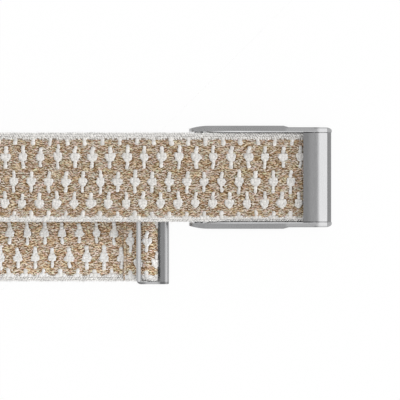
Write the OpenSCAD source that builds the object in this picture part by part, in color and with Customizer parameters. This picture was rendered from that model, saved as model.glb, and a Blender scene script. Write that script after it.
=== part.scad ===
// Knit fitness tracker band: a patterned elastic strap with a lever clasp at one end
// and an adjuster ring with a hook at the other, laid flat with its two strands crossed.
// Lengths are in millimetres. X runs along the strap towards the clasp, Y across it, Z up.
// Left is +Y and right is -Y, as seen looking along +X.
// Inside the modules X is measured from the edge of the cover plate that the strap runs under,
// Y from the middle of the clasp, and Z from the table. place() moves it all to the origin,
// which is the middle of the footprint on the table.

/* [Strap] */
// Width of the knitted strap
strap_w = 22; // [18:0.5:26]
// Thickness of the knitted strap
strap_t = 1.5; // [1.2:0.1:1.8]
// Radius of the rounded selvedge edges
selvedge_r = 0.5; // [0.3:0.05:0.55]
// Length of the straight upper strand, from the cover plate to where it starts to bend aside
upper_run = 77; // [64:1:110]
// Sideways distance between the two strands
strand_shift = 14.75; // [13:0.25:17]
// Middle radius of the loop at the far end
loop_r = 4.2; // [3.8:0.1:5]
// Angle that each strand is turned aside where it meets the loop
loop_skew = 14.3; // [10:0.1:16]
// Radius of the sideways bend of each strand
bend_r = 80; // [70:1:90]
// Slack between a sewn loop and the bar in it
loop_slack = 0.1; // [0.08:0.01:0.1]
// Length of the hem sewn under the strap at the clasp
hem_len = 7.5; // [6.5:0.5:10]
// Length of the tail beyond the keeper bar
tail_past = 3.15; // [2.5:0.05:6]

/* [Lever frame] */
// Gap between the edge of the strap and each arm
arm_gap = 0.15; // [0.15:0.05:0.5]
// Thickness of the arms at their broad middle
arm_t = 1.6; // [1.4:0.05:2]
// Thickness of the arms beside the cover plate
arm_slim_t = 1.22; // [1.1:0.02:1.35]
// Thickness of the arms at their tips
arm_tip_t = 0.85; // [0.7:0.05:1.1]
// Distance from the plate edge to the hinge axis
hinge_reach = 25.9; // [24:0.1:32]
// Radius of the round tips of the arms
tip_r = 2.4; // [2:0.1:2.6]
// Height of the lower edge of the arms above the table
arm_rise = 1.5; // [1.2:0.1:1.7]
// Thickness of the end wall
wall_t = 0.9; // [0.8:0.05:1.5]
// Height of the end wall
wall_h = 6.5; // [6.2:0.1:6.7]
// How far the top of the arms lies under the top of the cover plate
arm_drop = 0.3; // [0.1:0.05:0.5]

/* [Cover plate] */
// Length of the cover plate along the strap
plate_len = 6; // [5.6:0.1:8]
// Thickness of the cover plate
plate_t = 1; // [0.8:0.05:1.2]
// Length of the nose, where the plate falls away to the end wall
nose_len = 3.2; // [3.1:0.1:3.6]
// Slope of the nose in degrees
nose_tilt = 32; // [26:1:34]
// Radius between the flat of the plate and its nose
nose_r = 2.8; // [2.2:0.1:3.2]
// Gap between the strap and the cover plate
plate_gap = 0.3; // [0.25:0.05:0.5]
// Gap between the ends of the cover plate and the arms
plate_side_gap = 0.17; // [0.12:0.01:0.4]
// Height of the relief under the free edge
relief_h = 0.5; // [0.4:0.05:0.6]
// Radius of the dowel pins that hold the plate
plate_pin_r = 0.4; // [0.3:0.05:0.5]

/* [Bars] */
// Radius of the bar in the hem
anchor_bar_r = 0.5; // [0.4:0.05:0.55]
// Radius of the hinge bar
hinge_bar_r = 0.6; // [0.5:0.05:0.7]
// Radius of the bar that the strap is hooked to
hook_bar_r = 0.7; // [0.5:0.05:0.8]
// Radius of the bar that the tail turns round
tension_bar_r = 0.5; // [0.4:0.05:0.6]
// Running clearance of the hinge bushes on the hinge bar
bush_play = 0.05; // [0.02:0.01:0.08]
// Wall of the hinge bushes
bush_t = 0.35; // [0.25:0.05:0.45]
// Wall of the knuckles round the bushes
knuckle_t = 0.6; // [0.5:0.05:0.7]
// Width of each knuckle
knuckle_w = 3.2; // [2.5:0.1:4]

/* [Cradle] */
// Clearance between the cradle and the arms
cradle_play = 0.1; // [0.06:0.01:0.15]
// Thickness of the side plates
side_t = 0.95; // [0.8:0.05:1.2]
// Height of the side plates
side_h = 5.6; // [5.2:0.1:5.7]
// Width of the ledges that the tracker's shoulders seat on
ledge_w = 0.9; // [0.6:0.05:1.2]
// Thickness of the ledges
ledge_t = 0.8; // [0.6:0.05:1]
// Thickness of the seat pads under the ledges
pad_t = 0.5; // [0.3:0.05:0.6]
// Thickness of the cross member
cross_t = 1.4; // [1.1:0.05:1.6]
// Thickness of the leaf spring
spring_t = 0.25; // [0.2:0.05:0.35]
// Width of the leaf spring
spring_w = 9; // [6:0.5:11]

/* [Adjuster ring] */
// Length of the ring along the strap
ring_len = 8.1; // [7.6:0.1:10]
// Distance from the plate edge to the near side of the ring
ring_x = 33.26; // [31:0.01:40]
// Gap between the edge of the strap and the side bars
ring_gap = 0.2; // [0.15:0.05:0.4]
// Thickness of the side bars
ring_side_t = 0.55; // [0.5:0.05:0.8]
// Width of the keeper bar
keeper_w = 1.2; // [1:0.05:1.4]
// Height of the keeper bar
keeper_h = 0.95; // [0.8:0.05:1.05]
// Thickness of the hook
hook_t = 0.62; // [0.5:0.02:0.7]
// Play of the hook on the hook bar
hook_play = 0.08; // [0.05:0.01:0.15]
// Gap between the folded tail and the hook
fold_gap = 0.45; // [0.35:0.05:0.8]
// Room above the keeper bar for the ring to tilt
tilt_room = 1.1; // [1:0.05:1.4]

/* [Hidden] */
round_fn = 64;

knit_tan = "#bba588";
thread_cream = "#e4ded6";
steel = "#98989a";
bright_steel = "#c4c8cc";
bronze = "#a98c5a";
nylon_grey = "#5c5e60";

// Overlap of shapes that are joined
lap = 0.1;

// Stack of layers from the table up
strap_mid = strap_t / 2;
tension_bar_z = strap_t + loop_slack + tension_bar_r;
tail_turn_r = tension_bar_r + loop_slack + strap_mid;
tail_fold_z = tension_bar_z + tail_turn_r;
tail_gap = 0.1;
tail_flat_z = strap_t + tail_gap + strap_mid;
keeper_dip = 0.15;
keeper_z = tail_fold_z + strap_mid - keeper_dip;
strand_z = keeper_z + keeper_h + tilt_room;
strand_mid_z = strand_z + strap_mid;
strand_top_z = strand_z + strap_t;

// Lever frame
nose_x = plate_len - nose_len;
arm_in = strap_w / 2 + arm_gap;
arm_out = arm_in + arm_t;
arm_slim_out = arm_in + arm_slim_t;
arm_tip_out = arm_in + arm_tip_t;
hinge_x = -hinge_reach;
bush_in_r = hinge_bar_r + bush_play;
bush_out_r = bush_in_r + bush_t;
knuckle_r = bush_out_r + knuckle_t;
knuckle_room = 0.6;
hinge_z = strand_z - knuckle_room - knuckle_r;
plate_z = strand_top_z + plate_gap;
plate_top_z = plate_z + plate_t;
arm_top_z = plate_top_z - arm_drop;
arm_past = 0.15;
frame_end_x = plate_len + wall_t + arm_past;
step_start = 4.9;
step_end = 3.6;
taper_len = 4;
corner_len = 1.65;
corner_in = 0.8;
arm_low_x = -7;
arm_foot_x = -1;
nose_edge_r = 0.3;
arm_fall_x = -15.5;
arm_fall_steps = 6;
arm_bevel_w = 0.3;
arm_bevel_h = 0.14;
hinge_recess = 0.2;
hinge_recess_x = [hinge_x - 1.25, hinge_x + 2.1];
bar_recess = 0.25;

// Hem and anchor bar
anchor_turn_r = anchor_bar_r + loop_slack + strap_mid;
skirt_gap = 0.4;
skirt_x = plate_len - plate_t;
anchor_x = skirt_x - skirt_gap - anchor_turn_r - strap_mid;
anchor_z = strand_z - loop_slack - anchor_bar_r;
hem_gap = 0.05;
hem_z = strand_z - hem_gap - strap_mid;
hem_flat_x = -1.5;
hem_end_x = anchor_x - hem_len;

// Cover plate
plate_half = arm_in - plate_side_gap;
skirt_lap = 1.3;
skirt_z = wall_h - skirt_lap;
relief_end = 2.2;
plate_pin_inset = 4;
plate_pin_y = plate_half - plate_pin_inset;
plate_pin_z = skirt_z + skirt_lap / 2;
plate_pin_in = 0.7;

// Cradle
cradle_out = arm_in - cradle_play;
cradle_in = cradle_out - side_t;
side_x = hinge_x + 2.2;
hook_bar_x = anchor_x - 0.2;
side_round = hook_bar_r + 0.5;
hook_bar_z = side_round;
side_low_z = anchor_z - anchor_turn_r - strap_mid - 0.5;
side_step_x = [-7.5, -2];
cross_x = hinge_x + 1.6;
cross_end = cross_x + cross_t;
cross_z = [1.2, hinge_z + 1.3];
ledge_z = hinge_z - 0.5;
ledge_end = -8.5;
spacer_r = knuckle_r - 0.5;
spacer_play = 0.15;
knuckle_end = arm_in - 1.5 - spacer_play;
web_drop = 0.9;
rivet_r = 0.45;
rivet_head_r = 0.7;
rivet_head_t = 0.2;
rivet_y = spring_w / 2 - 1.3;
rivet_z = cross_z[1] - 0.9;
spring_top_z = cross_z[1] - 0.1;
spring_nose = 0.55;

// Adjuster ring
ring_y = -strand_shift;
ring_near = -ring_x;
ring_far = ring_near - ring_len;
ring_in = strap_w / 2 + ring_gap;
ring_out = ring_in + ring_side_t;
hook_in_r = hook_bar_r + hook_play;
hook_out_r = hook_in_r + hook_t;
hook_x = ring_near - hook_out_r;
hook_z = hook_out_r;
hook_flat = 0.75;
hook_w = hook_out_r + hook_flat;
tension_bar_x = ring_near - hook_w - fold_gap - tail_turn_r - strap_mid;
tail_fall = 4.55;
tail_flat_x = tension_bar_x - tail_fall;
tail_end_x = ring_far - tail_past;
side_bar_r = 1.1;
ring_corner_far = 1.2;
ring_corner_near = 0.3;

// Path of the strap over the table
bend_x = bend_r * sin(loop_skew);
bend_y = bend_r * (1 - cos(loop_skew));
loop_advance = PI * loop_r * tan(loop_skew);
skew_run = (strand_shift - loop_advance - 2 * bend_y) / (2 * sin(loop_skew));
loop_x = -upper_run - bend_x - skew_run * cos(loop_skew);
loop_z = strap_mid + loop_r;

// Footprint
far_x = loop_x - loop_r - strap_mid;
centre_x = (far_x + frame_end_x) / 2;
centre_y = (arm_out + ring_y - ring_out) / 2;

// Moves a piece from the clasp's own measures to the origin
module place() {
    translate([-centre_x, -centre_y, 0]) children();
}

// Puts a pair of like shapes on both sides of the middle plane
module both_sides() {
    children();
    mirror([0, 1, 0]) children();
}

// Stands an outline drawn in X and Z up, from one Y to another
module across(y_from, y_to) {
    translate([0, y_to, 0]) rotate([90, 0, 0]) linear_extrude(y_to - y_from) children();
}

// A round bar or boss along Y
module bar(x, z, r, y_from, y_to) {
    translate([x, y_to, z]) rotate([90, 0, 0]) cylinder(h = y_to - y_from, r = r, $fn = round_fn);
}

// Points of an arc in a plane, from one angle to another
function arc(cx, cy, r, from, to, steps = 8) =
    [for (i = [0:steps]) let (a = from + (to - from) * i / steps) [cx + r * cos(a), cy + r * sin(a)]];

// A curve that leaves one value and meets another with no kink
function ease(u) = let (v = min(1, max(0, u))) v * v * (3 - 2 * v);
function blend(a, b, u) = a + (b - a) * ease(u);

// Stations along the middle of the strap: a point and the way its patterned face looks
up = [0, 0, 1];
function turn_y(x, z, r, y, from, to, steps) =
    [for (i = [0:steps]) let (a = from + (to - from) * i / steps)
        [[x + r * cos(a), y, z + r * sin(a)], [cos(a), 0, sin(a)]]];

hem_stations =
    [for (i = [0:1]) [[hem_end_x + (hem_flat_x - hem_end_x) * i, 0, hem_z], -up]];
hem_drop_stations =
    [for (i = [1:5]) let (u = i / 6)
        [[hem_flat_x + (anchor_x - hem_flat_x) * u, 0,
          blend(hem_z, anchor_z - anchor_turn_r, u)], -up]];
anchor_stations = turn_y(anchor_x, anchor_z, anchor_turn_r, 0, -90, 90, 10);

// The upper strand climbs from the height of the clasp to the top of the loop
climb_start = 0.55;
function strand_height(s, total) =
    blend(strand_mid_z, strap_mid + 2 * loop_r, (s / total - climb_start) / (1 - climb_start));
strand_len = upper_run + bend_r * loop_skew * PI / 180 + skew_run;
bend_len = bend_r * loop_skew * PI / 180;
function strand_plan(s) =
    let (b = s - upper_run, a = min(max(b, 0), bend_len) / bend_r * 180 / PI, c = max(0, b - bend_len))
    [-min(s, upper_run) - bend_r * sin(a) - c * cos(loop_skew),
     -bend_r * (1 - cos(a)) - c * sin(loop_skew)];
upper_steps = [0, 20, 40, 50, 56, 62, 68, 74, 80, 85, 90, 95, 100];
upper_stations =
    [for (p = upper_steps) let (s = p / 100 * strand_len, q = strand_plan(s))
        [[q[0], q[1], strand_height(s, strand_len)], up]];
loop_steps = 14;
loop_top_y = -bend_y - skew_run * sin(loop_skew);
loop_stations =
    [for (i = [1:loop_steps - 1]) let (a = 180 * i / loop_steps)
        [[loop_x - loop_r * sin(a), loop_top_y - loop_r * tan(loop_skew) * a * PI / 180,
          loop_z + loop_r * cos(a)],
         [-sin(a), 0, cos(a)]]];
lower_steps = [100, 92, 84, 76, 70];
lower_stations =
    [for (p = lower_steps) let (s = p / 100 * strand_len, q = strand_plan(s))
        [[q[0], -strand_shift - q[1], strap_mid], -up]];
tension_stations = turn_y(tension_bar_x, tension_bar_z, tail_turn_r, ring_y, -90, 90, 10);
tail_stations =
    [for (i = [1:6]) let (u = i / 6)
        [[tension_bar_x + (tail_flat_x - tension_bar_x) * u, ring_y,
          blend(tail_fold_z, tail_flat_z, u)], up]];
tail_end_station = [[[tail_end_x, ring_y, tail_flat_z], up]];
strap_stations = concat(hem_stations, hem_drop_stations, anchor_stations, upper_stations,
                        loop_stations, lower_stations, tension_stations, tail_stations,
                        tail_end_station);

// Outline of the strap across its run: half width along X, half thickness along Y
strap_outline =
    let (a = strap_w / 2 - selvedge_r, b = strap_mid - selvedge_r)
    concat(arc(a, b, selvedge_r, 0, 90, 2), arc(-a, b, selvedge_r, 90, 180, 2),
           arc(-a, -b, selvedge_r, 180, 270, 2), arc(a, -b, selvedge_r, 270, 360, 2));

function unit(v) = v / norm(v);
function run_at(list, i) =
    unit(list[min(i + 1, len(list) - 1)][0] - list[max(i - 1, 0)][0]);

// Every section lies along Y, so where the strap runs askew it is cut askew and keeps its width
function section_at(list, i, outline) =
    let (run = run_at(list, i), level = [run[0], 0, run[2]], t = unit(level),
         face = list[i][1], n = unit(face - (face * t) * t), side = (t[0] * n[2] - t[2] * n[0]) > 0 ? 1 : -1,
         w = [0, side / norm(level), 0])
    [for (q = outline) list[i][0] + q[0] * w + q[1] * n];

// Sweeps an outline along stations as one closed solid
module sweep(list, outline) {
    m = len(outline);
    n = len(list);
    points = [for (i = [0:n - 1]) each section_at(list, i, outline)];
    sides = [for (i = [0:n - 2], j = [0:m - 1]) let (a = i * m + j, b = i * m + (j + 1) % m)
        each [[a, b, b + m], [a, b + m, a + m]]];
    caps = [[for (j = [m - 1:-1:0]) j], [for (j = [0:m - 1]) (n - 1) * m + j]];
    polyhedron(points, concat(sides, caps));
}

module knit_strap() {
    color(knit_tan) place() sweep(strap_stations, strap_outline);
}

// Two rows of thread that close the hem, on its underside
stitch_len = 1.6;
stitch_w = 0.4;
stitch_t = 0.12;
stitch_pitch = 2.2;
seam_margin = 2;
stitch_count = floor((strap_w - 2 * seam_margin) / stitch_pitch);
hem_rows = [0.9, 2.4];
tail_row = 0.7;
module stitch_row(x, z) {
    for (i = [0:stitch_count])
        translate([x - stitch_w / 2, (i - stitch_count / 2) * stitch_pitch - stitch_len / 2, z])
            cube([stitch_w, stitch_len, stitch_t]);
}

module anchor_seam() {
    color(thread_cream) place()
        for (d = hem_rows)
            stitch_row(hem_end_x + d, hem_z - strap_mid - stitch_t);
}

module tail_seam() {
    color(thread_cream) place() translate([0, ring_y, 0])
        stitch_row(tail_end_x + tail_row, tail_flat_z + strap_mid);
}

// Arm outline from above: slim at the tip, broad in the middle, slim again beside the plate
function arm_plan() =
    concat(
        [[frame_end_x, arm_in]],
        [for (a = [0:15:90])
            [frame_end_x - corner_len * (1 - cos(a)), arm_slim_out - corner_in * (1 - sin(a))]],
        [[-step_end, arm_slim_out], [-step_start, arm_out]],
        [for (i = [0:8]) let (u = i / 8, x = hinge_x + tip_r - taper_len * u * 1.2)
            [max(x, hinge_x - tip_r), arm_out - (arm_out - arm_tip_out) * u * u]],
        [[hinge_x - tip_r, arm_in],
         [hinge_recess_x[0], arm_in], [hinge_recess_x[0], arm_in + hinge_recess],
         [hinge_recess_x[1], arm_in + hinge_recess], [hinge_recess_x[1], arm_in]]);

// Side outline of the nose under a flat at a given height, from its foot up: soft edge, slope, round to the flat
function nose(top_z) =
    let (s = sin(nose_tilt), c = cos(nose_tilt), r = nose_edge_r, edge_x = plate_len - r,
         down = (edge_x + r * s - nose_x - nose_r * s) / c,
         edge_z = top_z - nose_r * (1 - c) - down * s - r * c)
    concat(arc(edge_x, edge_z, r, 0, 90 - nose_tilt, 4),
           arc(nose_x, top_z - nose_r, nose_r, 90 - nose_tilt, 90, 6));

// Top line of an arm where it falls from its straight back to the round tip
arm_fall_line =
    [for (i = [0:arm_fall_steps]) let (u = i / arm_fall_steps)
        [arm_fall_x + (hinge_x - arm_fall_x) * u, blend(arm_top_z, hinge_z + tip_r, u)]];

// Arm outline from the side: a round tip about the hinge, a straight back, a nose and a ledge at the wall
function arm_side() =
    concat(
        [[frame_end_x, 0], [frame_end_x, wall_h], [plate_len, wall_h]],
        nose(arm_top_z),
        arm_fall_line,
        arc(hinge_x, hinge_z, tip_r, 100, 260),
        [for (i = [0:6]) let (u = i / 6)
            [blend(hinge_x + 1, arm_low_x, 1) + (hinge_x + 1 - arm_low_x) * (1 - u),
             blend(hinge_z - tip_r, arm_rise, u)]],
        [for (i = [1:6]) let (u = i / 6)
            [arm_low_x + (arm_foot_x - arm_low_x) * u, blend(arm_rise, 0, u)]]);

module clasp_frame() {
    color(steel) place() difference() {
        union() {
            both_sides() intersection() {
                linear_extrude(plate_top_z) polygon(arm_plan());
                across(0, arm_out + 1) polygon(arm_side());
            }
            translate([plate_len, -arm_in - lap, 0]) cube([wall_t, 2 * (arm_in + lap), wall_h]);
        }
        bar(hinge_x, hinge_z, hinge_bar_r, -arm_out - 1, arm_out + 1);
        bar(anchor_x, anchor_z, anchor_bar_r, -arm_out - 1, arm_out + 1);
        plate_pin_bores();
        both_sides() arm_bevel_cut();
    }
}

// Bevel along the top inner edge of an arm, from the nose down to the recess at the hinge
module arm_bevel_cut() {
    line = concat([[nose_x, arm_top_z]], arm_fall_line);
    for (i = [0:len(line) - 3]) {
        run = line[i] - line[i + 1];
        translate([line[i + 1][0], arm_in, line[i + 1][1]]) rotate([0, -atan2(run[1], run[0]), 0])
            translate([-lap / 2, 0, 0]) rotate([90, 0, 90]) linear_extrude(norm(run) + (i > 0 ? lap : lap / 2))
                polygon([[-lap, lap], [arm_bevel_w * (1 + lap / arm_bevel_h), lap],
                         [-lap, -arm_bevel_h * (1 + lap / arm_bevel_w)]]);
    }
}

module plate_pin_bores() {
    for (y = [-plate_pin_y, plate_pin_y])
        translate([skirt_x - 1, y, plate_pin_z]) rotate([0, 90, 0])
            cylinder(h = plate_t + plate_pin_in + 1, r = plate_pin_r, $fn = round_fn);
}

// Cover plate from the side: flat over the strap, sloped at the nose, with a skirt down the wall
module plate_outline() {
    in_r = nose_r - plate_t;
    in_x = nose_x + in_r * sin(nose_tilt);
    in_z = plate_z - in_r * (1 - cos(nose_tilt));
    polygon(concat(
        [[skirt_x, skirt_z], [plate_len, skirt_z]],
        nose(plate_top_z),
        [[0, plate_top_z], [0, plate_z + relief_h], [relief_end, plate_z]],
        arc(nose_x, plate_z - in_r, in_r, 90, 90 - nose_tilt, 6),
        [[skirt_x, in_z - (skirt_x - in_x) * tan(nose_tilt)]]));
}

module cover_plate() {
    color(steel) place() difference() {
        across(-plate_half, plate_half) plate_outline();
        plate_pin_bores();
    }
}

module plate_pins() {
    color(bright_steel) place()
        for (y = [-plate_pin_y, plate_pin_y])
            translate([skirt_x, y, plate_pin_z]) rotate([0, 90, 0])
                cylinder(h = plate_t + plate_pin_in, r = plate_pin_r, $fn = round_fn);
}

module anchor_bar() {
    color(bright_steel) place()
        bar(anchor_x, anchor_z, anchor_bar_r, -arm_slim_out + bar_recess, arm_slim_out - bar_recess);
}

module hinge_bar() {
    color(bright_steel) place()
        bar(hinge_x, hinge_z, hinge_bar_r, -arm_tip_out - bar_recess, arm_tip_out + bar_recess);
}

module hinge_spacer() {
    difference() {
        bar(hinge_x, hinge_z, spacer_r, knuckle_end + spacer_play, arm_in + hinge_recess);
        bar(hinge_x, hinge_z, hinge_bar_r, knuckle_end, arm_in + 1);
    }
}

module hinge_spacer_left() {
    color(steel) place() hinge_spacer();
}

module hinge_spacer_right() {
    color(steel) place() mirror([0, 1, 0]) hinge_spacer();
}

// Side plate of the cradle: high beside the tracker, low under the hem, round at the hook bar
function side_plate() =
    concat(
        [[side_x, 0.8], [side_x, side_h - 0.8]],
        arc(side_x + 0.8, side_h - 0.8, 0.8, 180, 90, 4),
        [for (i = [0:6]) let (u = i / 6)
            [side_step_x[0] + (side_step_x[1] - side_step_x[0]) * u, blend(side_h, side_low_z, u)]],
        arc(hook_bar_x, hook_bar_z, side_round, 90, -90, 12),
        arc(side_x + 0.8, 0.8, 0.8, 270, 180, 4));

module cradle_frame() {
    color(steel) place() difference() {
        union() {
            both_sides() {
                across(cradle_in, cradle_out) polygon(side_plate());
                translate([cross_end, cradle_in - ledge_w, ledge_z])
                    cube([ledge_end - cross_end, ledge_w + 0.1, ledge_t]);
                bar(hinge_x, hinge_z, knuckle_r, knuckle_end - knuckle_w, knuckle_end);
                translate([hinge_x, knuckle_end - knuckle_w, hinge_z - web_drop])
                    cube([cross_x - hinge_x + 0.1, knuckle_w, knuckle_r + web_drop - 0.3]);
            }
            translate([cross_x, -cradle_in - 0.1, cross_z[0]])
                cube([cross_t, 2 * cradle_in + 0.2, cross_z[1] - cross_z[0]]);
        }
        bar(hinge_x, hinge_z, bush_out_r, -arm_out, arm_out);
        bar(hook_bar_x, hook_bar_z, hook_bar_r, -arm_out, arm_out);
        spring_rivet_bores();
    }
}

module hinge_bush() {
    difference() {
        bar(hinge_x, hinge_z, bush_out_r, knuckle_end - knuckle_w, knuckle_end);
        bar(hinge_x, hinge_z, bush_in_r, knuckle_end - knuckle_w - 1, knuckle_end + 1);
    }
}

module hinge_bush_left() {
    color(bronze) place() hinge_bush();
}

module hinge_bush_right() {
    color(bronze) place() mirror([0, 1, 0]) hinge_bush();
}

module hook_bar() {
    color(bright_steel) place()
        bar(hook_bar_x, hook_bar_z, hook_bar_r, -cradle_out, cradle_out);
}

module seat_pad() {
    translate([cross_end, cradle_in - ledge_w, ledge_z - pad_t])
        cube([ledge_end - cross_end, ledge_w, pad_t]);
}

module seat_pad_left() {
    color(nylon_grey) place() seat_pad();
}

module seat_pad_right() {
    color(nylon_grey) place() mirror([0, 1, 0]) seat_pad();
}

module spring_rivet_bores() {
    for (y = [-rivet_y, rivet_y])
        translate([cross_x - 1, y, rivet_z]) rotate([0, 90, 0])
            cylinder(h = cross_t + 3, r = rivet_r, $fn = round_fn);
}

// Leaf spring: flat where it is riveted, with a nose that snaps into the end of the tracker
spring_low_z = cross_z[0];
spring_bow = 8;
function spring_x(u) = cross_end + spring_nose * pow(sin(180 * u), 2);
function spring_height(u) = spring_low_z + (rivet_z - rivet_head_r - spring_low_z) * u;
module pod_spring() {
    color(bright_steel) place() difference() {
        across(-spring_w / 2, spring_w / 2) polygon(concat(
            [for (i = [0:spring_bow]) let (u = i / spring_bow) [spring_x(u) + spring_t, spring_height(u)]],
            [[cross_end + spring_t, spring_top_z], [cross_end, spring_top_z]],
            [for (i = [spring_bow:-1:0]) let (u = i / spring_bow) [spring_x(u), spring_height(u)]]));
        spring_rivet_bores();
    }
}

module spring_rivets() {
    color(bright_steel) place()
        for (y = [-rivet_y, rivet_y])
            translate([cross_x, y, rivet_z]) rotate([0, 90, 0]) {
                cylinder(h = cross_t + spring_t, r = rivet_r, $fn = round_fn);
                translate([0, 0, cross_t + spring_t])
                    cylinder(h = rivet_head_t, r = rivet_head_r, $fn = round_fn);
            }
}

// Adjuster ring from above: a rectangle with soft corners
module ring_plan() {
    half = ring_out;
    polygon(concat(
        arc(ring_near - ring_corner_near, half - ring_corner_near, ring_corner_near, 0, 90, 3),
        arc(ring_far + ring_corner_far, half - ring_corner_far, ring_corner_far, 90, 180, 6),
        arc(ring_far + ring_corner_far, -half + ring_corner_far, ring_corner_far, 180, 270, 6),
        arc(ring_near - ring_corner_near, -half + ring_corner_near, ring_corner_near, 270, 360, 3)));
}

// Side bar of the ring: it carries the keeper bar, the tension bar and the hook
hook_inset = 0.06;
function ring_side() =
    let (x0 = ring_far + keeper_w, top = keeper_z + keeper_h, r = hook_out_r - hook_inset)
    concat(
        [[ring_far, keeper_z], [ring_far, top], [x0, top]],
        [for (i = [1:8]) let (u = i / 8) [x0 + (hook_x - x0) * u, blend(top, hook_z + r, u)]],
        arc(hook_x, hook_z, r, 80, -60, 10),
        arc(tension_bar_x, tension_bar_z, side_bar_r, -60, -150, 6));

// Keeper bar: a crown that falls away towards the hook, and a soft edge on the other side
keeper_crown_r = 1.3;
keeper_edge_r = 0.2;
module keeper_outline() {
    fall = acos((keeper_w - keeper_edge_r) / keeper_crown_r);
    translate([ring_far, keeper_z]) polygon(concat(
        [[0, 0]],
        arc(keeper_edge_r, keeper_h - keeper_edge_r, keeper_edge_r, 180, 90, 4),
        arc(keeper_edge_r, keeper_h - keeper_crown_r, keeper_crown_r, 90, fall),
        [[keeper_w, 0]]));
}

// Hook: a flat top that curls down and back under, open towards the strap
module hook_outline() {
    difference() {
        union() {
            intersection() {
                translate([hook_x, hook_z]) circle(r = hook_out_r, $fn = round_fn);
                translate([hook_x - lap, -lap]) square([hook_out_r + 2 * lap, 2 * hook_out_r + 2 * lap]);
            }
            translate([ring_near - hook_w, hook_z]) square([hook_w - hook_out_r, hook_out_r]);
            translate([hook_x - 0.25, 0]) square([0.25, hook_t]);
        }
        translate([hook_x, hook_z]) circle(r = hook_in_r, $fn = round_fn);
        translate([hook_x - 2, hook_z - hook_in_r]) square([2, 2 * hook_in_r]);
    }
}

module adjuster_ring() {
    color(bright_steel) place() translate([0, ring_y, 0]) difference() {
        intersection() {
            translate([0, 0, -0.5]) linear_extrude(keeper_z + keeper_h + 1) ring_plan();
            union() {
                both_sides() across(ring_in, ring_out) polygon(ring_side());
                across(-ring_out, ring_out) keeper_outline();
                across(-ring_out, ring_out) hook_outline();
            }
        }
        bar(tension_bar_x, tension_bar_z, tension_bar_r, -ring_out - 1, ring_out + 1);
    }
}

module tension_bar() {
    color(bright_steel) place() translate([0, ring_y, 0])
        bar(tension_bar_x, tension_bar_z, tension_bar_r, -ring_out, ring_out);
}

knit_strap();
anchor_seam();
tail_seam();
clasp_frame();
cover_plate();
plate_pins();
anchor_bar();
hinge_bar();
hinge_spacer_left();
hinge_spacer_right();
cradle_frame();
hinge_bush_left();
hinge_bush_right();
hook_bar();
seat_pad_left();
seat_pad_right();
pod_spring();
spring_rivets();
adjuster_ring();
tension_bar();
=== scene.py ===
"""Knit fitness tracker band: the knitted strap, its seams, the lever clasp, the adjuster ring and the stage.

The strap's own measures are in millimetres, counted from the edge of the cover plate that the strap runs
under, as the solids' are. Meshes are in metres, round the middle of the footprint.
"""
import math

import bmesh
import bpy
import numpy as np
from bpy.props import FloatProperty, FloatVectorProperty, IntProperty, PointerProperty
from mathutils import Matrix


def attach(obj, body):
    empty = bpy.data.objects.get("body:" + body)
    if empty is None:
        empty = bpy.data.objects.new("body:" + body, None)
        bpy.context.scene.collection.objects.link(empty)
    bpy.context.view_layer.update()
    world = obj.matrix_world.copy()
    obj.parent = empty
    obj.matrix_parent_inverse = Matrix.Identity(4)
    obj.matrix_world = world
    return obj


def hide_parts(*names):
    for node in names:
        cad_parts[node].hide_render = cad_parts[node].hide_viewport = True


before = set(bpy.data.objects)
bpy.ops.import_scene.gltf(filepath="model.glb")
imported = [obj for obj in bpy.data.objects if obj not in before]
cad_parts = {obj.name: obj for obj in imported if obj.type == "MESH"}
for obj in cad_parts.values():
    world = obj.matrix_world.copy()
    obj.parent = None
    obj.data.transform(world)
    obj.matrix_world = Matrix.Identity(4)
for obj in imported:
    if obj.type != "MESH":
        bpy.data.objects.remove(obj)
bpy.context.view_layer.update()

bl_info = {
    "name": "Knit Tracker Band",
    "version": (1, 0, 0),
    "blender": (4, 5, 0),
    "location": "View3D > Sidebar > Band",
    "description": "Knits the strap, sews its seams and finishes the steel of a tracker band",
    "category": "Object",
}

MM = 0.001
# Middle of the footprint, in the clasp's own measures
CENTRE_X = -53.6357
CENTRE_Y = -6.875

# The strap's route, as the solids have it
STRAP_W = 22.0
STRAP_T = 1.5
UPPER_RUN = 77.0
STRAND_SHIFT = 14.75
LOOP_R = 4.2
LOOP_SKEW = math.radians(14.3)
BEND_R = 80.0
HEM_END_X = -5.0
HEM_FLAT_X = -1.5
HEM_Z = 5.3
ANCHOR_X = 2.5
ANCHOR_Z = 5.5
TURN_R = 1.35
STRAND_Z = 6.85
CLIMB_START = 0.55
TENSION_X = -37.96
TENSION_Z = 2.1
TAIL_FALL = 4.55
TAIL_FLAT_Z = 2.35
TAIL_END_X = -44.51

# Each end of the strap is pressed over this length, by up to this share of its thickness
END_TAPER = 2.2
END_THIN = 0.84
# Painted light on the lower strand's yarn and painted shade in the turn by the ring's hook; the upper
# strand's is 1
LOWER_PAINTED_LIGHT = 1.2
TURN_PAINTED_SHADE = 0.7
# Rows of the seams: run from the strap's start, and from its end
HEM_ROWS = (0.9, 2.4)
TAIL_ROW = 0.7


def linear(red, green, blue):
    """A colour given as 0 to 255 display values, turned to the renderer's linear values."""
    c = np.array([red, green, blue]) / 255
    return tuple(float(v) for v in np.where(c <= 0.04045, c / 12.92, ((c + 0.055) / 1.055) ** 2.4))


def colour_setting(name, description, default):
    """A setting for a colour."""
    return FloatVectorProperty(name=name, description=description, default=default, size=3, min=0, max=1,
                               subtype="COLOR")


def length_setting(name, description, default, low, high):
    """A setting for a length, whose default and limits are given in millimetres."""
    return FloatProperty(name=name, description=description, default=default * MM, min=low * MM,
                         max=high * MM, unit="LENGTH")


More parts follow.
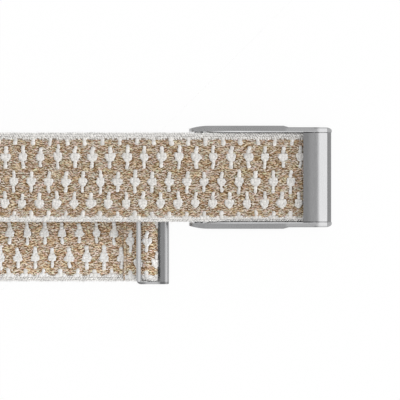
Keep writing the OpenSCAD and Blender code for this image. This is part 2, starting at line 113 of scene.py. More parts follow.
class BAND_PG_knit(bpy.types.PropertyGroup):
    """Sizes and colours of the knitted strap."""

    row_pitch: length_setting("Row pitch", "Distance between rows of ground stitches", 0.27, 0.2, 0.8)
    stitch_pitch: length_setting("Stitch pitch", "Distance between the stitches of a row", 0.6, 0.4, 1.2)
    yarn_width: length_setting("Yarn width", "Width of one ground stitch", 0.4, 0.2, 0.6)
    motif_pitch: length_setting("Motif pitch", "Distance between pale motifs along the strap", 4.285, 3, 6)
    fibres_per_mm: FloatProperty(
        name="Stray fibres", description="Stray fibres in each millimetre of both edges",
        default=3.5, min=0, max=10)
    seed: IntProperty(
        name="Seed", description="Start of the yarn's irregularity",
        default=11, min=0)
    ground: colour_setting("Ground", "Colour of the core between the stitches", linear(112, 86, 54))
    brown: colour_setting("Brown yarn", "Darkest colour of the marled yarn", linear(182, 149, 112))
    tan: colour_setting("Tan yarn", "Middle colour of the marled yarn", linear(234, 213, 190))
    cream: colour_setting("Cream yarn", "Lightest colour of the marled yarn", linear(246, 239, 228))
    white: colour_setting("White yarn", "Colour of the pale motifs and the seams", linear(231, 228, 224))
    edge: colour_setting("Selvedge yarn", "Colour of the selvedge stitches", linear(252, 250, 247))


class BAND_PG_steel(bpy.types.PropertyGroup):
    """Colours, gloss and edges of the metal pieces."""

    edge_radius: length_setting("Edge radius", "Softening of the steel's edges", 0.12, 0.02, 0.4)
    satin: colour_setting("Satin steel", "Colour of the lever frame and the cradle", (0.43, 0.43, 0.435))
    bright: colour_setting("Bright steel", "Colour of the ring, bars, pins and rivets", (0.52, 0.53, 0.54))
    bronze: colour_setting("Bronze", "Colour of the hinge bushes", (0.55, 0.36, 0.16))
    nylon: colour_setting("Nylon", "Colour of the seat pads", linear(92, 94, 96))
    satin_gloss: FloatProperty(
        name="Satin roughness", description="Roughness of the satin steel",
        default=0.26, min=0, max=1, subtype="FACTOR")
    bright_gloss: FloatProperty(
        name="Bright roughness", description="Roughness of the polished steel",
        default=0.2, min=0, max=1, subtype="FACTOR")


class BAND_PG_stage(bpy.types.PropertyGroup):
    """Camera, floor and light."""

    view_width: length_setting("View width", "Width of the picture at the strap", 99.0, 20, 400)
    view_x: length_setting("View X", "Middle of the picture along the strap", 28.07, -200, 200)
    view_y: length_setting("View Y", "Middle of the picture across the strap", 1.245, -200, 200)
    lens: FloatProperty(
        name="Lens", description="Focal length of the camera in millimetres",
        default=1000.0, min=50, max=5000)
    zenith: FloatProperty(
        name="Zenith light", description="Light from straight above",
        default=0.68, min=0, max=4)
    around: FloatProperty(
        name="Side light", description="Light from the sides and behind",
        default=1.1, min=0, max=4)
    key: FloatProperty(
        name="Key light", description="Light from the clasp's end",
        default=1.8, min=0, max=4)
    fill: FloatProperty(
        name="Fill light", description="Light from the lower strand's side, against the other side's",
        default=1.2, min=0, max=4)
    away: FloatProperty(
        name="Far light", description="Light from beyond the loop",
        default=0.72, min=0, max=4)


def strap_route():
    """Middle line of the strap from the hem to the tail, as closely spaced stations.

    The line is straight under the hem, turns half round the anchor bar, runs back along the upper strand,
    bends aside on a circle, turns down round the loop while it goes on sideways, comes back the same way on
    the table, turns half round the tension bar and lies on the strand below it. Heights ease from one level
    to the next by 3u^2 - 2u^3. Each section lies along Y, so across the strap a point moves by its distance
    over the cosine of the heading. Returns the run length s, the points, the outward normal of the
    patterned face and that widening.
    """
    def ease(u):
        """Goes from 0 to 1 while u does, and is level at both ends."""
        u = np.clip(u, 0, 1)
        return u * u * (3 - 2 * u)

    bend_x = BEND_R * math.sin(LOOP_SKEW)
    bend_y = BEND_R * (1 - math.cos(LOOP_SKEW))
    bend_len = BEND_R * LOOP_SKEW
    loop_shift = math.pi * LOOP_R * math.tan(LOOP_SKEW)
    skew_run = (STRAND_SHIFT - loop_shift - 2 * bend_y) / (2 * math.sin(LOOP_SKEW))
    strand_len = UPPER_RUN + bend_len + skew_run
    loop_x = -UPPER_RUN - bend_x - skew_run * math.cos(LOOP_SKEW)
    loop_top_y = -bend_y - skew_run * math.sin(LOOP_SKEW)
    mid = STRAP_T / 2

    def plan(s):
        """Place on the table of the upper strand's middle at a run from the plate's edge."""
        a = np.clip(s - UPPER_RUN, 0, bend_len) / BEND_R
        c = np.maximum(0, s - UPPER_RUN - bend_len)
        return (-np.minimum(s, UPPER_RUN) - BEND_R * np.sin(a) - c * math.cos(LOOP_SKEW),
                -BEND_R * (1 - np.cos(a)) - c * math.sin(LOOP_SKEW))

    parts = []

    def add(x, y, z):
        """Adds stations to the line's end."""
        parts.append(np.stack(np.broadcast_arrays(x, y, z), 1))

    add(np.linspace(HEM_END_X, HEM_FLAT_X, 36), 0, HEM_Z)
    u = np.linspace(0, 1, 41)[1:]
    add(HEM_FLAT_X + (ANCHOR_X - HEM_FLAT_X) * u, 0, HEM_Z + (ANCHOR_Z - TURN_R - HEM_Z) * ease(u))
    a = np.linspace(-math.pi / 2, math.pi / 2, 61)[1:]
    add(ANCHOR_X + TURN_R * np.cos(a), 0, ANCHOR_Z + TURN_R * np.sin(a))
    add(np.linspace(ANCHOR_X, 0, 26)[1:-1], 0, STRAND_Z)
    s = np.linspace(0, strand_len, 1101)
    px, py = plan(s)
    climb = ease((s / strand_len - CLIMB_START) / (1 - CLIMB_START))
    add(px, py, STRAND_Z + (mid + 2 * LOOP_R - STRAND_Z) * climb)
    a = np.linspace(0, math.pi, 161)[1:-1]
    add(loop_x - LOOP_R * np.sin(a), loop_top_y - LOOP_R * math.tan(LOOP_SKEW) * a,
        mid + LOOP_R + LOOP_R * np.cos(a))
    s = np.linspace(strand_len, 0.7 * strand_len, 331)
    px, py = plan(s)
    add(px, -STRAND_SHIFT - py, mid)
    add(np.linspace(px[-1], TENSION_X, 391)[1:-1], -STRAND_SHIFT, mid)
    a = np.linspace(-math.pi / 2, math.pi / 2, 61)
    add(TENSION_X + TURN_R * np.cos(a), -STRAND_SHIFT, TENSION_Z + TURN_R * np.sin(a))
    u = np.linspace(0, 1, 47)[1:]
    fold_z = TENSION_Z + TURN_R
    add(TENSION_X - TAIL_FALL * u, -STRAND_SHIFT, fold_z + (TAIL_FLAT_Z - fold_z) * ease(u))
    add(np.linspace(TENSION_X - TAIL_FALL, TAIL_END_X, 21)[1:], -STRAND_SHIFT, TAIL_FLAT_Z)
    points = np.concatenate(parts)
    step = np.linalg.norm(np.diff(points, axis=0), axis=1)
    points = points[np.concatenate([[True], step > 1e-6])]
    run = np.concatenate([[0], np.cumsum(np.linalg.norm(np.diff(points, axis=0), axis=1))])
    slope = np.gradient(points, run, axis=0)
    level = np.hypot(slope[:, 0], slope[:, 2])
    normal = np.stack([slope[:, 2] / level, 0 * run, -slope[:, 0] / level], 1)
    return run, points, normal, np.linalg.norm(slope, axis=1) / level


RUN, LINE, OUTWARD, WIDEN = strap_route()
LENGTH = float(RUN[-1])


def run_at(*place):
    """Run length of the station of the middle line that is nearest to a place."""
    return float(RUN[np.argmin(np.abs(LINE - place).sum(1))])


# Where the upper strand comes out from under the cover plate
PLATE_RUN = run_at(0, 0, STRAND_Z)
# Where the lower strand meets the tension bar
TENSION_RUN = run_at(TENSION_X, -STRAND_SHIFT, STRAP_T / 2)


def strap_point(s, v, h):
    """Places points given by run s, distance v across the strap and height h over its middle.

    The point is the middle line's point at s, plus v times the widening along Y, plus h times the normal.
    Over the last END_TAPER of both ends the patterned face eases towards the back, by END_THIN of the
    thickness, as a pressed and sealed end does.
    """
    base = np.stack([np.interp(s, RUN, LINE[:, k]) for k in range(3)], -1)
    out = np.stack([np.interp(s, RUN, OUTWARD[:, k]) for k in range(3)], -1)
    out /= np.linalg.norm(out, axis=-1, keepdims=True)
    base[..., 1] += v * np.interp(s, RUN, WIDEN)
    end = np.clip(1 - np.minimum(s, LENGTH - s) / END_TAPER, 0, 1)
    h = (h + STRAP_T / 2) * (1 - END_THIN * end * end * (3 - 2 * end)) - STRAP_T / 2
    return (base + out * np.asarray(h)[..., None] - [CENTRE_X, CENTRE_Y, 0]) * MM


def new_piece(name, points, faces, body, material, replaced=(), uv=None, tint=None):
    """Makes an object from an array of points and arrays of faces, and says what it rides on and replaces."""
    corners = np.concatenate([f.ravel() for f in faces]).astype(np.int32)
    counts = np.concatenate([np.full(len(f), f.shape[1]) for f in faces])
    mesh = bpy.data.meshes.new(name)
    mesh.vertices.add(len(points))
    mesh.vertices.foreach_set("co", np.ascontiguousarray(points, np.float32).ravel())
    mesh.loops.add(len(corners))
    mesh.loops.foreach_set("vertex_index", corners)
    mesh.polygons.add(len(counts))
    mesh.polygons.foreach_set("loop_start", (np.cumsum(counts) - counts).astype(np.int32))
    mesh.polygons.foreach_set("use_smooth", np.ones(len(counts), bool))
    mesh.update(calc_edges=True)
    if uv is not None:
        flat = np.concatenate([u.reshape(-1, 2) for u in uv])
        mesh.uv_layers.new(name="OFBake").uv.foreach_set("vector", flat.astype(np.float32).ravel())
    if tint is not None:
        colours = np.concatenate([tint, np.ones((len(tint), 1))], 1).astype(np.float32)
        mesh.color_attributes.new("yarn", "FLOAT_COLOR", "POINT").data.foreach_set("color", colours.ravel())
    mesh.materials.append(material)
    piece = bpy.data.objects.new(name, mesh)
    bpy.context.scene.collection.objects.link(piece)
    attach(piece, body)
    if replaced:
        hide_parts(*replaced)


def stitches(s, v, h, length, width, height, roll=0.0, turn=0.0, bow=0.0, sink=0.0,
             blunt=2, sides=3, rings=3):
    """Stitches of yarn as closed tubes on the strap, one for each entry of s.

    Along a stitch t goes from -1 to 1. Its middle runs length / 2 * t in the direction turn, bows aside by
    bow * (1 - t^2) and sinks by sink * t^2. Its section is an ellipse of width by height that shrinks as
    the root of 1 - |t|^blunt, to a point at both ends. roll turns the stitch about the strap's run: at 0
    it lies on the patterned face, at pi on the other one and at a right angle on the edge.
    Returns the points, the faces, and the place of each corner in the square that each stitch has of the map.
    """
    shape = np.shape(s)
    s, v, h, length, width, height, roll, turn, bow, sink = (
        np.broadcast_to(np.asarray(q, float), shape)[:, None, None]
        for q in (s, v, h, length, width, height, roll, turn, bow, sink))
    count = shape[0]
    reach = 0.62 if rings == 3 else 0.86
    t = np.linspace(-reach, reach, rings)[None, :, None]
    a = (np.arange(sides) / sides * 2 * np.pi + np.pi / 2)[None, None, :]
    size = np.sqrt(1 - np.abs(t) ** blunt)
    tip = np.array([-1.0, 1.0])[None, :, None]

    def with_tips(ring_part, tip_part):
        """Values for the points of the rings, and after them for the two tips."""
        full = np.broadcast_to(ring_part, (count, rings, sides)).reshape(count, -1)
        return np.concatenate([full, np.broadcast_to(tip_part, (count, 2, 1)).reshape(count, -1)], 1)

    along = with_tips(length / 2 * t, length / 2 * tip)
    aside = with_tips(bow * (1 - t ** 2) + width / 2 * size * np.cos(a), 0 * tip)
    rise = with_tips(height / 2 * size * np.sin(a) - sink * t ** 2, -sink + 0 * tip)
    s, v, h, roll, turn = (q[:, :, 0] for q in (s, v, h, roll, turn))
    across = along * np.sin(turn) + aside * np.cos(turn)
    points = strap_point(np.clip(s + along * np.cos(turn) - aside * np.sin(turn), 0, LENGTH),
                         v + across * np.cos(roll) + rise * np.sin(roll),
                         h - across * np.sin(roll) + rise * np.cos(roll)).reshape(-1, 3)

    each = rings * sides + 2
    first = (np.arange(count) * each)[:, None, None]
    k = np.arange(rings - 1)[None, :, None]
    j = np.arange(sides)[None, None, :]
    j_next = (j + 1) % sides
    quads = np.stack([first + k * sides + j, first + (k + 1) * sides + j,
                      first + (k + 1) * sides + j_next, first + k * sides + j_next], -1)
    first, j, j_next = first[:, :, 0], j[:, 0], j_next[:, 0]
    last = (rings - 1) * sides
    start_fan = np.stack([first + each - 2 + 0 * j, first + j, first + j_next], -1)
    end_fan = np.stack([first + each - 1 + 0 * j, first + last + j_next, first + last + j], -1)
    faces = [quads.reshape(-1, 4), start_fan.reshape(-1, 3), end_fan.reshape(-1, 3)]

    # Each stitch has one square of the map: its length along one side, its girth along the other
    columns = math.ceil(math.sqrt(count))
    margin = 0.08
    span = (1 - 2 * margin) / columns
    x0 = (np.arange(count) % columns + margin) / columns
    y0 = (np.arange(count) // columns + margin) / columns

    def on_map(c, r):
        """Place on the map at a share c of each stitch's length and r of its girth."""
        c, r = np.broadcast_arrays(c, r)
        lead = (slice(None),) + (None,) * c.ndim
        return np.stack([x0[lead] + span * c[None], y0[lead] + span * r[None]], -1)

    step = 1 / (rings + 1)
    k, j = np.arange(rings - 1)[:, None], np.arange(sides)[None, :]
    near, far = (k + 1) * step, (k + 2) * step
    quad_map = np.stack([on_map(near, j / sides), on_map(far, j / sides),
                         on_map(far, (j + 1) / sides), on_map(near, (j + 1) / sides)], -2)
    j = np.arange(sides)
    start_map = np.stack([on_map(0 * j, (j + 0.5) / sides), on_map(step + 0 * j, j / sides),
                          on_map(step + 0 * j, (j + 1) / sides)], -2)
    end_map = np.stack([on_map(1 + 0 * j, (j + 0.5) / sides), on_map(1 - step + 0 * j, (j + 1) / sides),
                        on_map(1 - step + 0 * j, j / sides)], -2)
    return points, faces, [quad_map, start_map, end_map]


def stitch_tint(ring_colours, sides=3):
    """Colours of all points of the stitches, from one for each ring. A tip has that of the nearest ring."""
    rings = np.repeat(ring_colours, sides, axis=1)
    return np.concatenate([rings, ring_colours[:, :1], ring_colours[:, -1:]], 1).reshape(-1, 3)


# Rows of pale motifs: distance across the strap, whether the motif has a tail, and run of one motif
FACE_ROWS = ((5.0, True, PLATE_RUN + 0.79),
             (-1.15, True, PLATE_RUN + 3.14),
             (-6.5, False, PLATE_RUN + 1.09))
BACK_ROWS = ((0.95, True, TENSION_RUN - 8.98),
             (-5.2, True, TENSION_RUN - 7.1),
             (6.9, True, TENSION_RUN - 7.1))
# Rows of ticks by the selvedges: distance across the strap and run of one tick
FACE_TICKS = ((8.8, PLATE_RUN + 2.72), (-9.45, PLATE_RUN + 3.14))
BACK_TICKS = ((-9.0, TENSION_RUN - 9.34), (9.3, TENSION_RUN - 9.34))
# The patterned face and the back
SIDES = ("face", "back")
# The last motif of the middle row lies this far from the tail's end
LAST_MOTIF = 1.67


def motif_runs(start, pitch, back):
    """Run lengths of all motifs of a row, a pitch apart, from the run of one of them.

    On the patterned face the pitch is stretched a little beyond the upper strand, so that the pattern also
    falls in step with the tail's end.
    """
    if back:
        return np.arange(start % pitch, LENGTH, pitch)
    lead = np.arange(start % pitch, PLATE_RUN + UPPER_RUN, pitch)
    tail_phase = LENGTH - LAST_MOTIF + (start - FACE_ROWS[1][2])
    turns = round((tail_phase - lead[-1]) / pitch)
    rest = lead[-1] + (tail_phase - lead[-1]) / turns * np.arange(1, turns + 3)
    runs = np.concatenate([lead, rest])
    return runs[runs < LENGTH - 0.4]


def motif_places(pitch, seed):
    """All motifs of both faces as columns: run, distance across, face (0 or 1) and whether it has a tail."""
    shake = np.random.default_rng(seed)
    places = []
    for back, rows in ((0, FACE_ROWS), (1, BACK_ROWS)):
        for v, tailed, start in rows:
            runs = motif_runs(start, pitch, back)
            runs = runs + shake.uniform(-0.09, 0.09, len(runs))
            places.append(np.stack([runs, v + shake.uniform(-0.07, 0.07, len(runs)),
                                    np.full(len(runs), back), np.full(len(runs), tailed)], 1))
    return np.concatenate(places)


def joined(tree, node, inputs):
    """Fills the inputs of a node, by name or number, with values or with sockets that are linked to them."""
    for key, value in inputs.items():
        if isinstance(value, bpy.types.NodeSocket):
            tree.links.new(value, node.inputs[key])
        else:
            node.inputs[key].default_value = value
    return node


def added(tree, kind, inputs, **settings):
    """A new node of a kind, with its own settings and its inputs filled."""
    node = tree.nodes.new("ShaderNode" + kind)
    for key, value in settings.items():
        setattr(node, key, value)
    return joined(tree, node, inputs)


def tree_of(name):
    """A new material with its tree, its shader and the place on the object."""
    material = bpy.data.materials.new(name)
    material.use_nodes = True
    tree = material.node_tree
    return material, tree, tree.nodes["Principled BSDF"], added(tree, "TexCoord", {}).outputs["Object"]


def noise_of(tree, place, scale, stretch=(1, 1, 1), detail=2.0):
    """Noise over the object's own place, squeezed or drawn out along its axes."""
    vector = added(tree, "Mapping", {"Scale": stretch, "Vector": place}).outputs["Vector"]
    return added(tree, "TexNoise", {"Scale": scale, "Detail": detail, "Vector": vector}).outputs["Fac"]


def ranged(tree, value, low, high, low_to, high_to):
    """A value moved from one range to another."""
    inputs = {"From Min": low, "From Max": high, "To Min": low_to, "To Max": high_to, "Value": value}
    return added(tree, "MapRange", inputs, interpolation_type="SMOOTHSTEP").outputs["Result"]


def worked_out(tree, operation, *values):
    """Result of a calculation on one or two values, each of them a socket or a number."""
    return added(tree, "Math", dict(enumerate(values)), operation=operation).outputs["Value"]


def mixed(tree, kind, factor, first, second, blend="MIX"):
    """One of two values or colours, or what lies between them, by a factor."""
    inputs = {"Factor": factor, "A": first, "B": second}
    return added(tree, "Mix", inputs, data_type=kind, blend_type=blend).outputs["Result"]


def bump_of(tree, height, strength, depth):
    """Normal of a surface that a height stands out of, by up to depth."""
    inputs = {"Strength": strength, "Distance": depth, "Height": height}
    return added(tree, "Bump", inputs).outputs["Normal"]


def yarn_material(name, fuzz=0.25):
    """Matt yarn: the stitch's own colour, broken up by fine fibres, with a soft sheen."""
    material, tree, shader, place = tree_of(name)
    colour = added(tree, "Attribute", {}, attribute_name="yarn").outputs["Color"]
    fibres = noise_of(tree, place, 9000, detail=3)
    shade = ranged(tree, fibres, 0.3, 0.7, 1 - fuzz, 1 + fuzz * 0.6)
    joined(tree, shader, {
        "Base Color": mixed(tree, "RGBA", 1, colour, shade, "MULTIPLY"),
        "Normal": bump_of(tree, fibres, 0.35, 0.04 * MM),
        "Roughness": 0.86, "Specular IOR Level": 0.25, "Sheen Weight": 0.15})
    return material


def patch(tree, split, x_from, x_to, y_from, y_to, gain, y_mid):
    """Factor that is gain in a stretch along the strap and 1 elsewhere: a painted highlight or painted shade.

    The stretch also has limits to its distance from a middle line at y_mid. Each of the four limits is a
    pair, of the place where the patch is nothing and the one where it is full, in the clasp's own measures.
    """
    aside = worked_out(tree, "SUBTRACT", split.outputs["Y"], (y_mid - CENTRE_Y) * MM)
    away = worked_out(tree, "ABSOLUTE", aside)
    along = split.outputs["X"]
    share = 1.0
    for value, (nothing, full), shift in ((along, x_from, CENTRE_X), (along, x_to, CENTRE_X),
                                          (away, y_from, 0), (away, y_to, 0)):
        flip = nothing > full
        low, high = sorted((nothing, full))
        edge = ranged(tree, value, (low - shift) * MM, (high - shift) * MM, flip, not flip)
        share = worked_out(tree, "MULTIPLY", share, edge)
    return ranged(tree, share, 0, 1, 1, gain)


def steel_material(name, colour, gloss, stretch, grain, depth, scale=900, painted_patches=(), y_mid=0.0):
    """Steel with fine drawn-out grain: the grain moves gloss, height and tone, and a slow noise the tone.

    patches are painted highlights and painted shades: stretches whose colour is scaled by a gain, each with
    four limits and a gain.
    """
    material, tree, shader, place = tree_of(name)
    lines = noise_of(tree, place, scale, stretch, detail=4)
    tone = ranged(tree, noise_of(tree, place, 160), 0.3, 0.7, 0.985, 1.015)
    factors = [ranged(tree, lines, 0.3, 0.7, 1 - grain, 1 + grain)]
    # The painted highlights and painted shades scale the tone too
    if painted_patches:
        split = added(tree, "SeparateXYZ", {"Vector": place})
        factors += [patch(tree, split, *one, y_mid) for one in painted_patches]
    for factor in factors:
        tone = worked_out(tree, "MULTIPLY", tone, factor)
    joined(tree, shader, {
        "Base Color": mixed(tree, "RGBA", 1, (*colour, 1), tone, "MULTIPLY"),
        "Roughness": ranged(tree, lines, 0.3, 0.7, gloss - 0.05, gloss + 0.06),
        "Normal": bump_of(tree, lines, 0.2, depth),
        "Metallic": 1})
    return material


def nylon_material(colour):
    """Moulded nylon with a faint pebbled skin."""
    material, tree, shader, place = tree_of("moulded_nylon")
    pebbles = noise_of(tree, place, 5000)
    dark = (*[c * 0.85 for c in colour], 1)
    light = (*[min(1, c * 1.15) for c in colour], 1)
    joined(tree, shader, {
        "Base Color": mixed(tree, "RGBA", pebbles, dark, light),
        "Normal": bump_of(tree, pebbles, 0.3, 0.02 * MM),
        "Roughness": 0.55})
    return material


# Edges between these two angles are ground bevels and stay crisp, and sharper ones are rounded
SHARP_FROM = math.radians(22)
BEVEL_FROM = math.radians(35)


def softened(node, radius, material, body):
    """Copy of a solid that stands for it: doubles merged, flat faces joined, edges rounded or kept crisp."""
    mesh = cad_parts[node].data.copy()
    piece = bpy.data.objects.new(node + "_soft", mesh)
    bpy.context.scene.collection.objects.link(piece)
    shell = bmesh.new()
    shell.from_mesh(mesh)
    bmesh.ops.remove_doubles(shell, verts=shell.verts, dist=1e-7)
    bmesh.ops.dissolve_limit(shell, angle_limit=math.radians(0.6), verts=shell.verts, edges=shell.edges)
    for face in shell.faces:
        face.smooth = True
    for edge in shell.edges:
        edge.smooth = not (edge.is_manifold and SHARP_FROM < edge.calc_face_angle() < BEVEL_FROM)
    shell.to_mesh(mesh)
    shell.free()
    mesh.materials.clear()
    mesh.materials.append(material)
    bevel = piece.modifiers.new("edges", "BEVEL")
    bevel.width = radius
    bevel.segments = 2
    bevel.limit_method = "ANGLE"
    bevel.angle_limit = BEVEL_FROM
    flats = piece.modifiers.new("flats", "WEIGHTED_NORMAL")
    flats.weight = 100
    flats.keep_sharp = True
    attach(piece, body)
    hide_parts(node)


def give(nodes, material):
    """Gives CAD solids a material."""
    for node in nodes:
        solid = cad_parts[node]
        for slot in solid.material_slots:
            slot.material = material
        if not solid.material_slots:
            solid.data.materials.append(material)


# Width of the camera's sensor and height of the upper strand's face over the table, in millimetres
SENSOR = 36
VIEW_LEVEL = 7.6
# How far the floor reaches from the middle, in metres, and how far it lies under the table, in millimetres
FLOOR_REACH = 10.0
FLOOR_DROP = 0.05


class BAND_OT_stage(bpy.types.Operator):
    """Set up the camera, the floor and the soft light"""

    bl_idname = "band.stage"
    bl_label = "Stage"

    def execute(self, context):
        stage = context.scene.band_stage
        scene = context.scene
        scene.view_settings.view_transform = "Standard"
        camera = bpy.data.cameras.new("camera")
        camera.lens = stage.lens
        camera.sensor_width = SENSOR
        camera.clip_start = 0.01
        camera.clip_end = 100
        eye = bpy.data.objects.new("camera", camera)
        # The view width holds at the height of the upper strand
        eye.location = (stage.view_x, stage.view_y, VIEW_LEVEL * MM + stage.lens / SENSOR * stage.view_width)
        scene.collection.objects.link(eye)
        scene.camera = eye

        mesh = bpy.data.meshes.new("floor")
        corners = [(x * FLOOR_REACH, y * FLOOR_REACH, -FLOOR_DROP * MM)
                   for x, y in ((-1, -1), (1, -1), (1, 1), (-1, 1))]
        mesh.from_pydata(corners, [], [(0, 1, 2, 3)])
        floor = bpy.data.objects.new("floor", mesh)
        scene.collection.objects.link(floor)
        mesh.materials.append(self.floor_material())

        world = bpy.data.worlds.new("studio")
        scene.world = world
        world.use_nodes = True
        tree = world.node_tree
        sky = added(tree, "TexCoord", {}).outputs["Generated"]
        way = added(tree, "SeparateXYZ", {"Vector": sky}).outputs
        side = ranged(tree, way["X"], 0.2, 0.8, 1, stage.key / stage.around)
        for level in (ranged(tree, way["X"], -0.8, -0.2, stage.away, stage.around),
                      ranged(tree, way["Y"], -0.7, -0.1, stage.fill, 1)):
            side = worked_out(tree, "MULTIPLY", side, level)
        high = ranged(tree, way["Z"], 0.55, 1.0, 0, 1)
        joined(tree, tree.nodes["Background"], {
            "Color": (1, 1, 1, 1), "Strength": mixed(tree, "FLOAT", high, side, stage.zenith)})
        return {"FINISHED"}

    def floor_material(self):
        """White paper that shows its own brightness to the camera, gloss and glass, holds a shadow, and is
        painted dark deep in narrow gaps.
        """
        material = bpy.data.materials.new("floor_paper")
        material.use_nodes = True
        tree = material.node_tree
        tree.nodes.clear()
        rays = added(tree, "LightPath", {}).outputs
        seen = rays["Is Camera Ray"]
        for ray in ("Is Glossy Ray", "Is Transmission Ray"):
            seen = worked_out(tree, "MAXIMUM", seen, rays[ray])
        # Open floor glows for these rays, and floor deep in a narrow gap does not
        gap = added(tree, "AmbientOcclusion", {"Distance": 4 * MM}, samples=8).outputs["AO"]
        share = worked_out(tree, "MULTIPLY", ranged(tree, gap, 0.2, 0.55, 0, 0.96), seen)
        # Deep in a narrow gap the paper's own colour is painted near black too: painted shade
        lit = ranged(tree, gap, 0.15, 0.5, 0, 1)
        paper = mixed(tree, "RGBA", lit, (0.06, 0.06, 0.06, 1), (0.93, 0.93, 0.93, 1))
        surface = added(tree, "BsdfDiffuse", {"Color": paper}).outputs["BSDF"]
        glow = added(tree, "Emission", {"Color": (1, 1, 1, 1)}).outputs["Emission"]
        mix = added(tree, "MixShader", {"Fac": share, 1: surface, 2: glow}).outputs["Shader"]
        added(tree, "OutputMaterial", {"Surface": mix})
        return material


def painted_light_by_run(s):
    """Painted light and shade on the yarn at run s, easing to LOWER_PAINTED_LIGHT past the loop and to
    TURN_PAINTED_SHADE in the turn.

    The lower strand's painted light stands in for the light that the upper strand's shade takes from it.
    The turn's painted shade is full within 0.66 mm of its darkest place and ends 1.76 mm from it.
    """
    lower = 1 + (LOWER_PAINTED_LIGHT - 1) * np.clip((s - LENGTH / 2) / 20, 0, 1)
    darkest = TENSION_RUN + 0.4 * math.pi * TURN_R
    turn = np.clip((1.76 - np.abs(s - darkest)) / 1.1, 0, 1)
    return lower * (1 + (TURN_PAINTED_SHADE - 1) * turn)


class BAND_OT_core(bpy.types.Operator):
    """Sweep the strap's core, the body that the stitches lie on"""

    bl_idname = "band.core"
    bl_label = "Strap core"

    def execute(self, context):
        knit = context.scene.band_knit
        # The core lies inside the solid by the depth of the stitches on it
        half = STRAP_W / 2 - 0.15
        thick = STRAP_T / 2 - 0.25
        round_r = 0.4
        corner = np.linspace(0, np.pi / 2, 5)
        flat = np.linspace(-1, 1, 17)[1:-1]
        v = np.concatenate([half - round_r + round_r * np.cos(corner), -flat * (half - round_r),
                            -half + round_r - round_r * np.sin(corner)])
        h = np.concatenate([thick - round_r + round_r * np.sin(corner), thick + 0 * flat,
                            thick - round_r + round_r * np.cos(corner)])
        v, h = np.concatenate([v, -v]), np.concatenate([h, -h])
        m = len(v)
        s = np.linspace(0, LENGTH, 620)
        n = len(s)
        points = strap_point(np.repeat(s, m), np.tile(v, n), np.tile(h, n))
        i, j = np.arange(n - 1)[:, None], np.arange(m)[None, :]
        jn = (j + 1) % m
        quads = np.stack([i * m + j, i * m + jn, (i + 1) * m + jn, (i + 1) * m + j], -1).reshape(-1, 4)
        start = np.arange(m)[::-1][None]
        end = ((n - 1) * m + np.arange(m))[None]

        def on_map(station, corner):
            """Place on the map, whose last tenth holds the two caps, of a corner at a station."""
            return np.stack(np.broadcast_arrays(0.9 * station / n, 0.98 * corner / m), -1)

        quad_map = np.stack([on_map(i, j), on_map(i, j + 1), on_map(i + 1, j + 1), on_map(i + 1, j)], -2)
        cap = np.stack([0.95 + h / STRAP_T * 0.06, 0.25 + v / STRAP_W * 0.45], -1)
        # Pale under the selvedges, browner over the last 0.7 mm of the tail, and with the run's painted light
        # and painted shade
        pale = np.clip((np.abs(v) - np.where(v < 0, 9.7, 9.1)) / 0.4, 0, 1)[:, None]
        across = np.array(knit.ground) * (1 - pale) + 0.62 * np.array(knit.edge) * pale
        sealed = np.clip(1 - (LENGTH - s) / 0.7, 0, 1)[:, None, None]
        tint = (across * (1 - sealed) + 0.8 * np.array(knit.brown) * sealed) * painted_light_by_run(s)[:, None, None]
        tint = np.minimum(tint, 1).reshape(-1, 3)
        new_piece("strap_core", points, [quads, start, end], "strap", yarn_material("core_yarn"),
                  ["knit_strap"], [quad_map, cap[::-1][None], cap[None] + [0, 0.48]], tint)
        return {"FINISHED"}


# Where the ground ends across the strap: at the top, and at the bottom of the patterned face, of that
# face on the tail, and of the back
GROUND_TOP = 9.3
FACE_LOW = -9.8
TAIL_LOW = -9.35
BACK_LOW = -9.25
# No ground lies under a motif's body or stem: half of their lengths along the strap, half of the body's
# width, and how far the stem reaches up and, without a tail and with one, down
BODY_LONG = 1.15
STEM_LONG = 0.52
BODY_WIDE = 0.78
STEM_UP = 2.6
STEM_DOWN = (-1.1, -2.7)
# How far the middles of the stitches lie under the solid's face
GROUND_DEPTH = 0.2
MOTIF_DEPTH = 0.13


